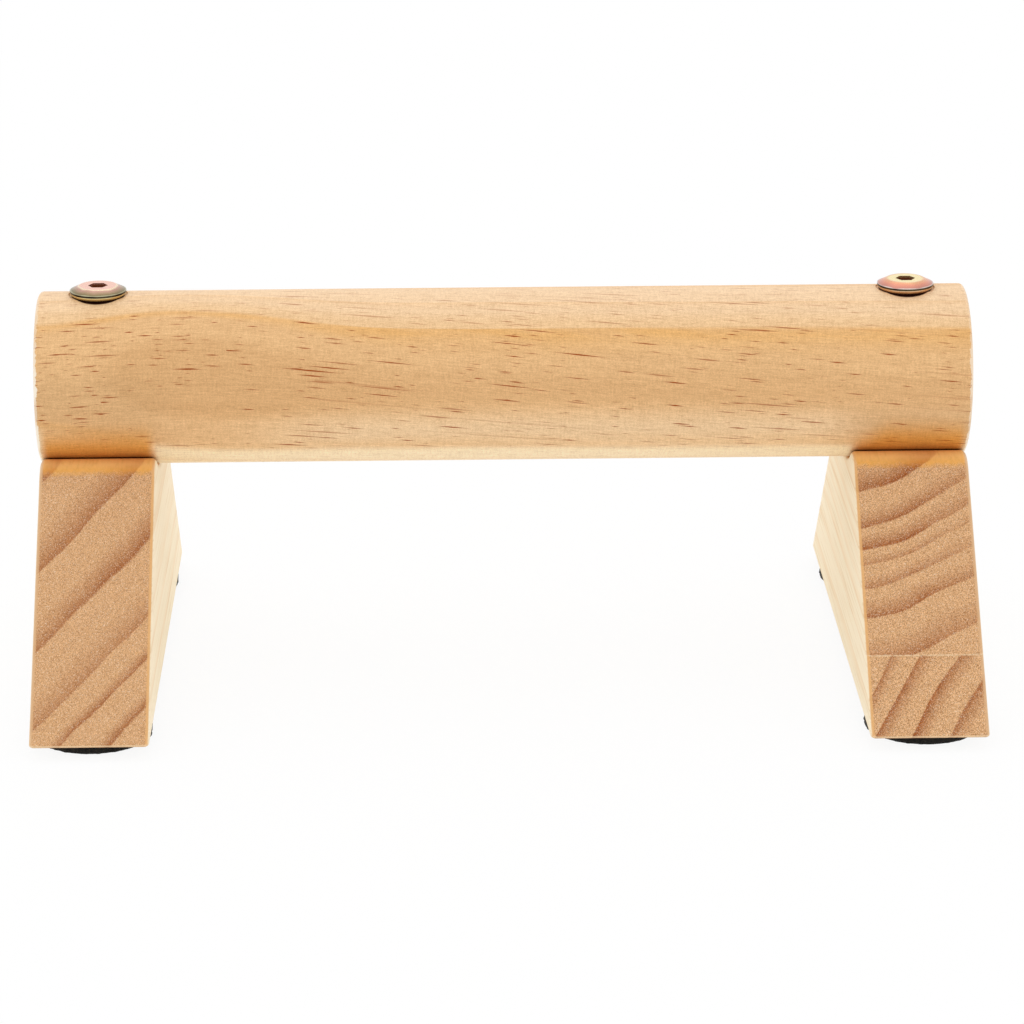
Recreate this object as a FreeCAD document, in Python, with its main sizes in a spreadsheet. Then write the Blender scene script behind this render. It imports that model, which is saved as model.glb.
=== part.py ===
import FreeCAD, Part
import enum
import math
import os

import Sketcher

# Parallette bar: a round pine grip bar, bolted down into the saddles of two mitred pine feet on felt pads.
# Millimetres and degrees. +X runs along the bar, +Z is up, and the origin is on the floor under the bar's middle.
# The right foot is glued up from two staves. Each bolt goes down through the bar into an insert nut in its foot.

# Driving dimensions. Heights inside a foot are measured from its underside.
SIZES = {
    "bar_diameter": 40,
    "bar_length": 214,
    "bar_end_round": 1.0,
    "bar_overhang": 0.6,
    "foot_thickness": 26.5,
    "foot_depth": 138,
    "face_slope": 45,
    "axis_height": 65.5,
    "saddle_clearance": 0.15,
    "lip_round": 7.5,
    "side_edge_round": 1.2,
    "base_edge_round": 0.35,
    "glue_line_height": 14.5,
    "shank_diameter": 6,
    "shank_reach": 1.25,
    "tip_chamfer": 0.8,
    "head_diameter": 13,
    "head_top_diameter": 8.7,
    "head_under_diameter": 11.8,
    "head_height": 2.4,
    "head_rim_height": 0.6,
    "head_under_taper": 0.75,
    "bolt_key_size": 4,
    "bolt_key_depth": 3,
    "bolt_hole_diameter": 6.6,
    "seat_depth": 0.4,
    "seat_clearance": 0.3,
    "tip_bore_room": 2,
    "tip_bore_diameter": 7,
    "insert_diameter": 10,
    "insert_length": 13,
    "insert_recess": 1,
    "insert_chamfer": 0.8,
    "insert_key_size": 6.5,
    "insert_key_depth": 4,
    "insert_clearance": 0.05,
    "thread_clearance": 0.05,
    "pad_diameter": 26,
    "pad_thickness": 3,
    "pad_edge_distance": 17,
    "pad_edge_round": 0.4,
}

# Sizes worked out from the driving ones, as expressions.
BAR_RADIUS = "(sizes.bar_diameter / 2)"
SADDLE_RADIUS = f"({BAR_RADIUS} + sizes.saddle_clearance)"
FOOT_STATION = "(sizes.bar_length / 2 - sizes.bar_overhang - sizes.foot_thickness / 2)"
BAR_AXIS = "(sizes.pad_thickness + sizes.axis_height)"
HEAD_SEAT = f"(sizes.axis_height + {BAR_RADIUS} - sizes.seat_depth)"
INSERT_FLOOR = f"(sizes.axis_height - {SADDLE_RADIUS} - sizes.insert_recess - sizes.insert_length)"
SHANK_TIP = f"({INSERT_FLOOR} - sizes.shank_reach)"
SHANK_LENGTH = f"({HEAD_SEAT} - {SHANK_TIP})"
PAD_STATION = "(sizes.foot_depth / 2 - sizes.pad_edge_distance)"

SIDES = {"left": -1, "right": 1}
ENDS = {"front": -1, "rear": 1}


class Axis(enum.IntEnum):
    """A sketch's own axes, as its constraints number them."""

    HORIZONTAL = -1
    VERTICAL = -2


class Point(enum.IntEnum):
    """The points of a sketch's element, as its constraints number them."""

    START = 1
    END = 2
    CENTRE = 3


# A sketch's own references: its two axes and its origin, which counts as the start of the first.
HORIZONTAL_AXIS, VERTICAL_AXIS = Axis
START, END, CENTRE = Point
ORIGIN = (HORIZONTAL_AXIS, START)

# Lengths shorter than this count as nothing when edges are picked.
TOLERANCE = 1e-4
KEY_SIDES = 6

doc = FreeCAD.newDocument("parallette")
sheet = doc.addObject("Spreadsheet::Sheet", "sizes")
for row, (alias, size) in enumerate(SIZES.items(), start=1):
    sheet.set(f"A{row}", alias)
    sheet.set(f"B{row}", str(size))
    sheet.setAlias(f"B{row}", alias)
doc.recompute()


def value_of(expression):
    """Number that an expression on the sheet's sizes comes to."""
    return float(sheet.evalExpression(expression))


def new_body(label, across="0", along="0", up="0"):
    """Empty body whose own origin is placed by expressions."""
    body = doc.addObject("PartDesign::Body", label)
    body.Label = label
    body.setExpression("Placement.Base.x", across)
    body.setExpression("Placement.Base.y", along)
    body.setExpression("Placement.Base.z", up)
    return body


def new_sketch(body, name, role, height="0"):
    """Sketch on one of the body's origin planes, or at a height above it."""
    plane = next(feature for feature in body.Origin.OriginFeatures if feature.Role == role)
    sketch = body.newObject("Sketcher::SketchObject", f"{body.Label}_{name}")
    sketch.AttachmentSupport = [(plane, "")]
    sketch.MapMode = "FlatFace"
    sketch.setExpression("AttachmentOffset.Base.z", height)
    return sketch


def bind(sketch, kind, references, expression):
    """Dimension that follows an expression."""
    index = sketch.addConstraint(Sketcher.Constraint(kind, *references, value_of(expression)))
    sketch.setExpression(f"Constraints[{index}]", expression)


def pin(sketch, element, place, kind, axis, expression):
    """Holds a point at a distance from one axis, on either side of it."""
    distance = value_of(expression)
    if abs(distance) < TOLERANCE:
        sketch.addConstraint(Sketcher.Constraint("PointOnObject", element, place, axis))
    elif distance > 0:
        bind(sketch, kind, (*ORIGIN, element, place), expression)
    else:
        bind(sketch, kind, (element, place, *ORIGIN), f"-{expression}")


def draw_polygon(sketch, corners):
    """Closed polygon whose corners are pairs of expressions."""
    points = [FreeCAD.Vector(value_of(across), value_of(up), 0) for across, up in corners]
    for start, end in zip(points, points[1:] + points[:1]):
        sketch.addGeometry(Part.LineSegment(start, end))
    for index, (across, up) in enumerate(corners):
        before = (index - 1) % len(corners)
        sketch.addConstraint(Sketcher.Constraint("Coincident", before, END, index, START))
        pin(sketch, index, START, "DistanceX", VERTICAL_AXIS, across)
        pin(sketch, index, START, "DistanceY", HORIZONTAL_AXIS, up)


def draw_circles(sketch, diameter, stations):
    """Circles of one diameter along the sketch's horizontal axis."""
    for index, station in enumerate(stations):
        centre = FreeCAD.Vector(value_of(station), 0, 0)
        sketch.addGeometry(Part.Circle(centre, FreeCAD.Vector(0, 0, 1), value_of(diameter) / 2))
        pin(sketch, index, CENTRE, "DistanceX", VERTICAL_AXIS, station)
        sketch.addConstraint(Sketcher.Constraint("PointOnObject", index, CENTRE, HORIZONTAL_AXIS))
        bind(sketch, "Diameter", (index,), diameter)


def draw_hexagon(sketch, across_flats):
    """Hexagon about the sketch's origin, with two corners on the horizontal axis."""
    corner_radius = f"({across_flats} / 2 / cos(180 deg / {KEY_SIDES}))"
    corners = []
    for number in range(KEY_SIDES):
        turn = f"({number} * 360 deg / {KEY_SIDES})"
        corners.append((f"({corner_radius} * cos{turn})", f"({corner_radius} * sin{turn})"))
    draw_polygon(sketch, corners)


def pad_sketch(body, sketch, length, side="One side"):
    """Solid made by pushing a sketch out."""
    pad = body.newObject("PartDesign::Pad", f"{sketch.Label}_pad")
    pad.Profile = sketch
    pad.SideType = side
    pad.setExpression("Length", length)
    doc.recompute()
    return pad


def pocket_sketch(body, sketch, depth=None, side="One side", upward=False):
    """Cut made by pushing a sketch in: down, up or both ways, to a depth or right through."""
    before = body.Shape.Volume
    pocket = body.newObject("PartDesign::Pocket", f"{sketch.Label}_pocket")
    pocket.Profile = sketch
    pocket.SideType = side
    pocket.Reversed = upward
    if depth is None:
        pocket.Type = "ThroughAll"
        pocket.Type2 = "ThroughAll"
    else:
        pocket.setExpression("Length", depth)
    doc.recompute()
    if body.Shape.Volume > before - TOLERANCE:
        raise RuntimeError(f"{pocket.Label} cuts nothing")


def round_edges(body, base, name, radius, wanted):
    """Rounds the edges of a feature whose bounding boxes pass a test."""
    edges = [
        f"Edge{number}"
        for number, edge in enumerate(base.Shape.Edges, start=1)
        if wanted(edge.BoundBox)
    ]
    fillet = body.newObject("PartDesign::Fillet", f"{body.Label}_{name}")
    fillet.Base = (base, edges)
    fillet.setExpression("Radius", radius)
    doc.recompute()
    return fillet


def on_side_face(box):
    """An edge of a foot's inner or outer face, apart from its level edges."""
    return box.XLength < TOLERANCE < box.ZLength


def on_underside(box):
    """An edge of a piece's underside."""
    return box.ZMax < TOLERANCE


def on_end_face(box):
    """The edge of one of the bar's ends."""
    return box.XLength < TOLERANCE


def make_grip_bar():
    """Round bar with rounded ends, two bolt holes and a shallow flat seat round each."""
    body = new_body("grip_bar", up=BAR_AXIS)
    section = new_sketch(body, "section", "YZ_Plane")
    draw_circles(section, "sizes.bar_diameter", ["0"])
    pad = pad_sketch(body, section, "sizes.bar_length", side="Symmetric")
    round_edges(body, pad, "end_round", "sizes.bar_end_round", on_end_face)
    stations = [f"({sign} * {FOOT_STATION})" for sign in SIDES.values()]
    holes = new_sketch(body, "bolt_holes", "XY_Plane")
    draw_circles(holes, "sizes.bolt_hole_diameter", stations)
    pocket_sketch(body, holes, side="Symmetric")
    seats = new_sketch(body, "head_seats", "XY_Plane", height=f"{BAR_RADIUS} - sizes.seat_depth")
    draw_circles(seats, "(sizes.head_diameter + 2 * sizes.seat_clearance)", stations)
    pocket_sketch(body, seats, upward=True)
    return body


def face_reach(height):
    """Half the foot's depth at a height above its underside."""
    return f"(sizes.foot_depth / 2 - {height} / tan(sizes.face_slope * 1 deg))"


def draw_saddle_outline(sketch, low):
    """Foot seen along the bar: sloping ends, two round lips and the saddle between them."""
    slope = math.radians(value_of("sizes.face_slope"))
    axis = FreeCAD.Vector(0, value_of("sizes.axis_height"), 0)
    saddle_radius = value_of(SADDLE_RADIUS)
    lip_radius = value_of("sizes.lip_round")
    corner = FreeCAD.Vector(value_of(face_reach(low)), value_of(low), 0)
    uphill = FreeCAD.Vector(-math.cos(slope), math.sin(slope), 0)
    outward = FreeCAD.Vector(math.sin(slope), math.cos(slope), 0)

    # The lip's centre lies one lip radius inside the slope, and one outside the saddle's circle.
    inset = corner - outward * lip_radius
    towards = (axis - inset).dot(uphill)
    nearest = (inset + uphill * towards - axis).Length
    climb = towards - math.sqrt((saddle_radius + lip_radius) ** 2 - nearest**2)
    lip = inset + uphill * climb
    slope_top = lip + outward * lip_radius
    to_axis = math.atan2(axis.y - lip.y, axis.x - lip.x)
    from_axis = math.atan2(lip.y - axis.y, lip.x - axis.x)

    def mirrored(point):
        return FreeCAD.Vector(-point.x, point.y, 0)

    def arc(centre, radius, start, end):
        return Part.ArcOfCircle(Part.Circle(centre, FreeCAD.Vector(0, 0, 1), radius), start, end)

    base = sketch.addGeometry(Part.LineSegment(mirrored(corner), corner))
    right_slope = sketch.addGeometry(Part.LineSegment(corner, slope_top))
    right_lip = sketch.addGeometry(arc(lip, lip_radius, math.pi / 2 - slope, to_axis))
    saddle = sketch.addGeometry(arc(axis, saddle_radius, math.pi - from_axis, from_axis + 2 * math.pi))
    left_lip = sketch.addGeometry(arc(mirrored(lip), lip_radius, math.pi - to_axis, math.pi / 2 + slope))
    left_slope = sketch.addGeometry(Part.LineSegment(mirrored(slope_top), mirrored(corner)))

    meetings = [
        ("Coincident", base, END, right_slope, START),
        ("Tangent", right_slope, END, right_lip, START),
        ("Tangent", right_lip, END, saddle, END),
        ("Tangent", saddle, START, left_lip, START),
        ("Tangent", left_lip, END, left_slope, START),
        ("Coincident", left_slope, END, base, START),
        ("Symmetric", base, START, base, END, VERTICAL_AXIS),
        ("PointOnObject", saddle, CENTRE, VERTICAL_AXIS),
        ("Equal", right_lip, left_lip),
    ]
    for meeting in meetings:
        sketch.addConstraint(Sketcher.Constraint(*meeting))
    pin(sketch, base, START, "DistanceY", HORIZONTAL_AXIS, low)
    bind(sketch, "DistanceX", (base, START, base, END), f"(2 * {face_reach(low)})")
    bind(sketch, "DistanceY", (*ORIGIN, saddle, CENTRE), "sizes.axis_height")
    bind(sketch, "Radius", (saddle,), SADDLE_RADIUS)
    bind(sketch, "Radius", (right_lip,), "sizes.lip_round")
    for line, heading in ((right_slope, "(180 - sizes.face_slope)"), (left_slope, "(sizes.face_slope - 180)")):
        index = sketch.addConstraint(Sketcher.Constraint("Angle", line, math.radians(value_of(heading))))
        sketch.setExpression(f"Constraints[{index}]", f"{heading} * 1 deg")


def sink_bore(body, name, diameter, floor):
    """Round hole from the bar's axis down to a floor, on the body's own vertical axis."""
    sketch = new_sketch(body, name, "XY_Plane", height="sizes.axis_height")
    draw_circles(sketch, diameter, ["0"])
    pocket_sketch(body, sketch, depth=f"sizes.axis_height - {floor}")


def make_saddle_block(label, sign, low):
    """Upper part of a foot, or a whole foot: the saddle block with its bores for the insert nut and bolt."""
    body = new_body(label, across=f"{sign} * {FOOT_STATION}", up="sizes.pad_thickness")
    outline = new_sketch(body, "outline", "YZ_Plane")
    draw_saddle_outline(outline, low)
    pad = pad_sketch(body, outline, "sizes.foot_thickness", side="Symmetric")
    fillet = round_edges(body, pad, "side_round", "sizes.side_edge_round", on_side_face)
    if abs(value_of(low)) < TOLERANCE:
        round_edges(body, fillet, "base_round", "sizes.base_edge_round", on_underside)
    sink_bore(body, "insert_bore", "(sizes.insert_diameter + 2 * sizes.insert_clearance)", INSERT_FLOOR)
    sink_bore(body, "tip_bore", "sizes.tip_bore_diameter", f"({SHANK_TIP} - sizes.tip_bore_room)")
    return body


def make_base_stave(label, sign):
    """Lower stave of a glued foot: a plain board with the same sloping ends."""
    body = new_body(label, across=f"{sign} * {FOOT_STATION}", up="sizes.pad_thickness")
    outline = new_sketch(body, "outline", "YZ_Plane")
    top = "sizes.glue_line_height"
    corners = [
        (f"(-{face_reach('0')})", "0"),
        (face_reach("0"), "0"),
        (face_reach(top), top),
        (f"(-{face_reach(top)})", top),
    ]
    draw_polygon(outline, corners)
    pad = pad_sketch(body, outline, "sizes.foot_thickness", side="Symmetric")
    fillet = round_edges(body, pad, "side_round", "sizes.side_edge_round", on_side_face)
    round_edges(body, fillet, "base_round", "sizes.base_edge_round", on_underside)
    return body


def revolve_outline(body, corners):
    """Turned piece from half of its outline, about the body's vertical axis."""
    sketch = new_sketch(body, "half_outline", "XZ_Plane")
    draw_polygon(sketch, corners)
    turned = body.newObject("PartDesign::Revolution", f"{body.Label}_turned")
    turned.Profile = sketch
    turned.ReferenceAxis = (sketch, ["V_Axis"])
    doc.recompute()


def sink_key_socket(body, across_flats, top, depth):
    """Hexagon socket sunk from the top of a turned piece."""
    sketch = new_sketch(body, "key_socket", "XY_Plane", height=top)
    draw_hexagon(sketch, across_flats)
    pocket_sketch(body, sketch, depth=depth)


def make_bolt(side, sign):
    """Furniture bolt: double-bevelled flat head with a hexagon socket, plain shank, chamfered tip."""
    tip = f"(sizes.pad_thickness + {SHANK_TIP})"
    body = new_body(f"{side}_bolt", across=f"{sign} * {FOOT_STATION}", up=tip)
    shank_radius = "(sizes.shank_diameter / 2)"
    rim_radius = "(sizes.head_diameter / 2)"
    rim_bottom = f"({SHANK_LENGTH} + sizes.head_under_taper)"
    head_top = f"({SHANK_LENGTH} + sizes.head_height)"
    corners = [
        ("0", "0"),
        (f"({shank_radius} - sizes.tip_chamfer)", "0"),
        (shank_radius, "sizes.tip_chamfer"),
        (shank_radius, SHANK_LENGTH),
        ("(sizes.head_under_diameter / 2)", SHANK_LENGTH),
        (rim_radius, rim_bottom),
        (rim_radius, f"({rim_bottom} + sizes.head_rim_height)"),
        ("(sizes.head_top_diameter / 2)", head_top),
        ("0", head_top),
    ]
    revolve_outline(body, corners)
    sink_key_socket(body, "sizes.bolt_key_size", head_top, "sizes.bolt_key_depth")
    return body


def make_insert_nut(side, sign):
    """Insert nut: plain sleeve with chamfered ends and a hexagon socket for driving it into the foot."""
    floor = f"(sizes.pad_thickness + {INSERT_FLOOR})"
    body = new_body(f"{side}_insert_nut", across=f"{sign} * {FOOT_STATION}", up=floor)
    bore_radius = "(sizes.shank_diameter / 2 + sizes.thread_clearance)"
    outer_radius = "(sizes.insert_diameter / 2)"
    end_radius = f"({outer_radius} - sizes.insert_chamfer)"
    corners = [
        (bore_radius, "0"),
        (end_radius, "0"),
        (outer_radius, "sizes.insert_chamfer"),
        (outer_radius, "(sizes.insert_length - sizes.insert_chamfer)"),
        (end_radius, "sizes.insert_length"),
        (bore_radius, "sizes.insert_length"),
    ]
    revolve_outline(body, corners)
    sink_key_socket(body, "sizes.insert_key_size", "sizes.insert_length", "sizes.insert_key_depth")
    return body


def make_pad(side, sign, end, end_sign):
    """Felt disc under one end of a foot."""
    label = f"{side}_{end}_pad"
    body = new_body(label, across=f"{sign} * {FOOT_STATION}", along=f"{end_sign} * {PAD_STATION}")
    disc = new_sketch(body, "disc", "XY_Plane")
    draw_circles(disc, "sizes.pad_diameter", ["0"])
    pad = pad_sketch(body, disc, "sizes.pad_thickness")
    round_edges(body, pad, "lower_round", "sizes.pad_edge_round", on_underside)
    return body


def check_model(bodies):
    """Stops the build if any feature failed or any piece isn't one sound solid."""
    for item in doc.Objects:
        if "Invalid" in item.State or "Error" in item.State:
            raise RuntimeError(f"{item.Label} failed: {item.State}")
    for body in bodies:
        if body.Shape.isNull() or not body.Shape.isValid() or len(body.Shape.Solids) != 1:
            raise RuntimeError(f"{body.Label} is not one sound solid")


def main():
    """Builds every piece, checks it and writes it to its own file."""
    bodies = [
        make_grip_bar(),
        make_saddle_block("left_foot", SIDES["left"], "0"),
        make_saddle_block("right_foot_upper_stave", SIDES["right"], "sizes.glue_line_height"),
        make_base_stave("right_foot_lower_stave", SIDES["right"]),
    ]
    for side, sign in SIDES.items():
        bodies.append(make_bolt(side, sign))
        bodies.append(make_insert_nut(side, sign))
        for end, end_sign in ENDS.items():
            bodies.append(make_pad(side, sign, end, end_sign))
    doc.recompute()
    check_model(bodies)
    os.makedirs("parts", exist_ok=True)
    for body in bodies:
        body.Shape.exportStep(f"parts/{body.Label}.step")
        box = body.Shape.BoundBox
        print(f"{body.Label}: {body.Shape.Volume:.0f} mm3, {box}")


main()
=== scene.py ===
"""Looks of a wooden parallette bar.

Pine bar and feet, yellow zinc bolts and black felt pads, on a white floor.
"""

import math
from typing import NamedTuple

import bpy
from mathutils import Matrix, Vector, noise


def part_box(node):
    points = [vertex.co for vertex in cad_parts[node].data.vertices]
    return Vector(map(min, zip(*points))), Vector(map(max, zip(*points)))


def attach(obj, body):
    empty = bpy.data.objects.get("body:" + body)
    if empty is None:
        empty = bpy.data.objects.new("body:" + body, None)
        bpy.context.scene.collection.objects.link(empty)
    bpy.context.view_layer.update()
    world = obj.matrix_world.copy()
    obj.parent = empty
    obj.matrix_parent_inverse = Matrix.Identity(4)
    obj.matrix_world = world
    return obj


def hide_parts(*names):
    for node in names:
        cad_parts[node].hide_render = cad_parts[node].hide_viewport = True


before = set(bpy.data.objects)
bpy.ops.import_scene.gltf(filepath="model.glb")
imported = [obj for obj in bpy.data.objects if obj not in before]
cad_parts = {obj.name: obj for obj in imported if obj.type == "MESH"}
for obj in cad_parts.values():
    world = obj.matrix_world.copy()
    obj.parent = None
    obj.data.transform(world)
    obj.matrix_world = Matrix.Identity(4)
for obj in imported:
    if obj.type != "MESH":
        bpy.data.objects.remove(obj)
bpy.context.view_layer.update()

# lengths in the materials are millimetres, and the scene's own unit is the metre
MM = 0.001
BODY = "root"


def srgb(red, green, blue):
    """Linear colour with alpha of an sRGB colour from 0 to 255."""
    shares = [channel / 255 for channel in (red, green, blue)]
    linear = [s / 12.92 if s <= 0.04045 else ((s + 0.055) / 1.055) ** 2.4 for s in shares]
    return (*linear, 1.0)


def grey(level):
    """Linear grey with alpha."""
    return (level, level, level, 1.0)


def shifted(span, place):
    """A span of distances moved to a place."""
    return tuple(place + distance for distance in span)


WHITE = grey(1.0)


class Tree:
    """A node tree, with short calls for the nodes that the finishes, the floor and the world share."""

    def __init__(self, owner):
        owner.use_nodes = True
        self.nodes = owner.node_tree.nodes
        self.links = owner.node_tree.links
        self.where = self.add("TexCoord", {}).outputs

    def plug(self, socket, value):
        """Links a socket to another, or sets its own value."""
        if isinstance(value, bpy.types.NodeSocket):
            self.links.new(value, socket)
        else:
            socket.default_value = value

    def add(self, kind, values, **settings):
        """A new node with its settings and inputs."""
        node = self.nodes.new("ShaderNode" + kind)
        for name, setting in settings.items():
            setattr(node, name, setting)
        for key, value in values.items():
            self.plug(node.inputs[key], value)
        return node

    def math(self, operation, *values):
        """Result of a math node."""
        return self.add("Math", dict(enumerate(values)), operation=operation).outputs[0]

    def plus(self, first, *others):
        """Sum of its values."""
        for other in others:
            first = self.math("ADD", first, other)
        return first

    def times(self, first, *others):
        """Product of its values."""
        for other in others:
            first = self.math("MULTIPLY", first, other)
        return first

    def largest(self, first, *others):
        """Largest of its values."""
        for other in others:
            first = self.math("MAXIMUM", first, other)
        return first

    def minus(self, first, second):
        """First value less the second."""
        return self.math("SUBTRACT", first, second)

    def over(self, first, second):
        """First value divided by the second."""
        return self.math("DIVIDE", first, second)

    def line(self, value, slope, base):
        """Value times a slope, plus a base."""
        return self.plus(self.times(value, slope), base)

    def length(self, first, second):
        """Length of a pair at right angles."""
        return self.math("SQRT", self.plus(self.times(first, first), self.times(second, second)))

    def scaled(self, vector, factors):
        """A vector with each axis times its own factor."""
        return self.add("VectorMath", {0: vector, 1: factors}, operation="MULTIPLY").outputs[0]

    def split(self, vector):
        """The three parts of a vector."""
        return self.add("SeparateXYZ", {0: vector}).outputs

    def join(self, x, y, z):
        """A vector of three parts."""
        return self.add("CombineXYZ", {0: x, 1: y, 2: z}).outputs[0]

    def ease(self, value, start, end, low=0.0, high=1.0):
        """Smooth step from low at start to high at end."""
        values = {"Value": value, "From Min": start, "From Max": end, "To Min": low, "To Max": high}
        return self.add("MapRange", values, interpolation_type="SMOOTHSTEP").outputs[0]

    def mix(self, share, first, second, blend="MIX"):
        """Colour mix from first to second."""
        node = self.add("Mix", {0: share, 6: first, 7: second}, data_type="RGBA", blend_type=blend)
        return node.outputs[2]

    def blend(self, share, first, second):
        """Shader mix from first to second."""
        shaders = {1: first.outputs[0], 2: second.outputs[0]}
        return self.add("MixShader", {0: share, **shaders}).outputs[0]

    def seen_directly(self):
        """1 for camera, glossy and transmission rays, 0 for the light that falls on the object."""
        rays = self.add("LightPath", {}).outputs
        kinds = ("Is Camera Ray", "Is Glossy Ray", "Is Transmission Ray")
        return self.largest(*(rays[kind] for kind in kinds))


# a growth ring's latewood: shares of its width and strength at its shoulder, how far in front of its
# mark it peaks and behind it ends, and the room at either end of a row of rings
RING_SHOULDER = (0.4, 0.54)
RING_PEAK = 0.12
RING_END = 0.1
RING_ROOM = 1.0
# scattered marks: least size, spread of sizes and soft edge as shares of their radius, share of
# strength that the faintest have, and how far a seed moves the pattern
SPINDLE_LEAST = 0.4
SPINDLE_SPREAD = 0.8
SPINDLE_EDGE = 0.22
SPINDLE_FAINTEST = 0.5
SEED_STEP = (1.0, 1.7, 2.3)


class Finish(Tree):
    """A material on the Principled shader, with the patterns that the finishes share."""

    def __init__(self, name):
        self.material = bpy.data.materials.new(name)
        super().__init__(self.material)

    def finish(self, **inputs):
        """Sets the shader's inputs and gives the material."""
        shader = self.nodes["Principled BSDF"]
        for name, value in inputs.items():
            self.plug(shader.inputs[name.replace("_", " ")], value)
        return self.material

    def place(self):
        """Place on the object in millimetres."""
        return self.scaled(self.where["Object"], (1 / MM,) * 3)

    def normal(self):
        """The three parts of the direction that the surface faces."""
        return self.split(self.where["Normal"])

    def hill(self, value, centre, width, height):
        """Bell of a given height and half width about a centre."""
        away = self.over(self.minus(value, centre), width)
        return self.times(self.math("EXPONENT", self.times(away, away, -1.0)), height)

    def bend(self, value, centre, width):
        """Distance from a centre, with a round corner of a given width there."""
        return self.length(self.minus(value, centre), width)

    def noise(self, vector, scale, detail=2.0, roughness=0.5):
        """Noise on a stretched vector, about 0.5 at its middle."""
        stretched = self.scaled(vector, scale)
        values = {"Vector": stretched, "Scale": 1.0, "Detail": detail, "Roughness": roughness}
        return self.add("TexNoise", values).outputs["Fac"]

    def jitter(self, vector, amount, *pattern):
        """Noise of a given pattern about zero, times an amount."""
        return self.times(self.minus(self.noise(vector, *pattern), 0.5), amount)

    def tint(self, colour, value, low, high):
        """Colour times a tone that goes from low to high with a value from 0 to 1."""
        return self.mix(1.0, colour, self.mix(value, low, high), "MULTIPLY")

    def ramp(self, value, stops):
        """Colour ramp through (place, colour) stops."""
        node = self.add("ValToRGB", {0: value})
        points = node.color_ramp.elements
        points.remove(points[0])
        points[0].position, points[0].color = stops[0]
        for position, colour in stops[1:]:
            points.new(position).color = colour
        return node.outputs[0]

    def rings(self, radius, marks):
        """Latewood share at a radius: it rises towards each ring's mark and drops at once behind it.

        A mark is (radius, width of the latewood, strength)."""
        low = marks[0][0] - marks[0][1] - RING_ROOM
        high = marks[-1][0] + RING_ROOM
        shoulder, risen = RING_SHOULDER
        stops = [(0.0, grey(0.0))]
        for mark, width, strength in marks:
            profile = ((-width, 0.0), (-shoulder * width, risen), (-RING_PEAK, 1.0), (RING_END, 0.0))
            for offset, share in profile:
                stops.append(((mark + offset - low) / (high - low), grey(share * strength)))
        span = {"Value": radius, "From Min": low, "From Max": high}
        return self.ramp(self.add("MapRange", span).outputs[0], stops)

    def spindles(self, vector, stretch, radius, seed, share, strength):
        """Scattered pointed marks on a stretched plane, each of its own size and strength."""
        shift = tuple(seed * step for step in SEED_STEP)
        stretched = self.scaled(vector, (*stretch, 1.0))
        moved = self.add("VectorMath", {0: stretched, 1: shift}, operation="ADD").outputs[0]
        settings = {"voronoi_dimensions": "2D", "distance": "MANHATTAN"}
        cells = self.add("TexVoronoi", {"Vector": moved, "Scale": 1.0}, **settings)
        pick = self.split(cells.outputs["Color"])
        kept = self.math("LESS_THAN", pick[0], share)
        spread = self.times(self.math("POWER", pick[1], 2.0), SPINDLE_SPREAD * radius)
        size = self.times(self.plus(spread, SPINDLE_LEAST * radius), kept)
        inner = self.minus(size, cells.outputs["Distance"])
        own_strength = self.ease(pick[2], 0.0, 1.0, SPINDLE_FAINTEST * strength, strength)
        return self.times(self.ease(inner, 0.0, SPINDLE_EDGE * radius), own_strength)

    def bump(self, height, distance, strength):
        """Direction of the surface with a relief whose height is a distance in metres."""
        values = {"Height": height, "Distance": distance, "Strength": strength}
        return self.add("Bump", values).outputs[0]


# from here on a span is (start, end) or (start, end, low, high) of an ease, a pattern is (scale,
# detail, roughness) of a noise, a jitter is an amount before a pattern, a roughness is (slope, base)
# of a line, and a relief is (distance, strength) of a bump

WOOD_GLOSS = 0.2
# tones that the fine grain darkens and lightens the wood by
DARK_GRAIN = (0.62, 0.52, 0.4, 1.0)
LIGHT_GRAIN = (1.38, 1.48, 1.6, 1.0)

# stretches along the bar: where its left end gives way to the rest, and where its halves meet
LEFT_STRETCH = (-75.0, -30.0)
MIDDLE = (-20.0, 20.0)
# climb of the bar's grain: bends as (place along the bar, width), their slopes, and a slope overall
GRAIN_CREST = (-68.0, 20.0)
GRAIN_CREST_SLOPE = -0.09
GRAIN_HOLLOW = (50.0, 20.0)
GRAIN_HOLLOW_SLOPE = 0.015
GRAIN_SLOPE = -0.015
# planes of the bar's growth rings, along the bar: their lean, their swell as a hill, and their fall
# at the left end
RING_LEAN = (-20.0, -100.0, 0.04, 0.245)
RING_LEAN_SLOPE = 0.00045
RING_SWELL = (-66.0, 22.0, 1.65)
RING_FALL = (-74.0, -108.0, -0.28, -3.08)
BAR_RING_WANDER = (0.6, (0.02, 0.1, 0.1))
# the growth rings by depth behind the bar's front: two that show, then (depth, latewood width,
# strength) behind
FACE_RING = 6.0
HEART_RING = 0.5
BACK_RINGS = (
    (12.9, 3.0, 0.3),
    (23.4, 3.0, 0.7),
    (28.6, 3.0, 0.6),
    (34.2, 3.2, 0.8),
    (39.6, 2.5, 0.5),
)
# half width of the face ring's border: parts that go by place along the bar, and one by height
BORDER_LEFT = (-30.0, -60.0, 0.12, 0.7)
BORDER_RIGHT = (15.0, 50.0, 0.0, 0.45)
BORDER_LOW = (-4.0, -10.0, 0.0, 1.0)
# spans from a foot's inner face over which the bar nears it, and from both faces over which the bar
# lies on it
NEAR_FOOT = (-9.0, 7.0)
PAST_INNER_FACE = (-0.5, 2.5)
PAST_OUTER_FACE = (0.5, -2.0)


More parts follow.
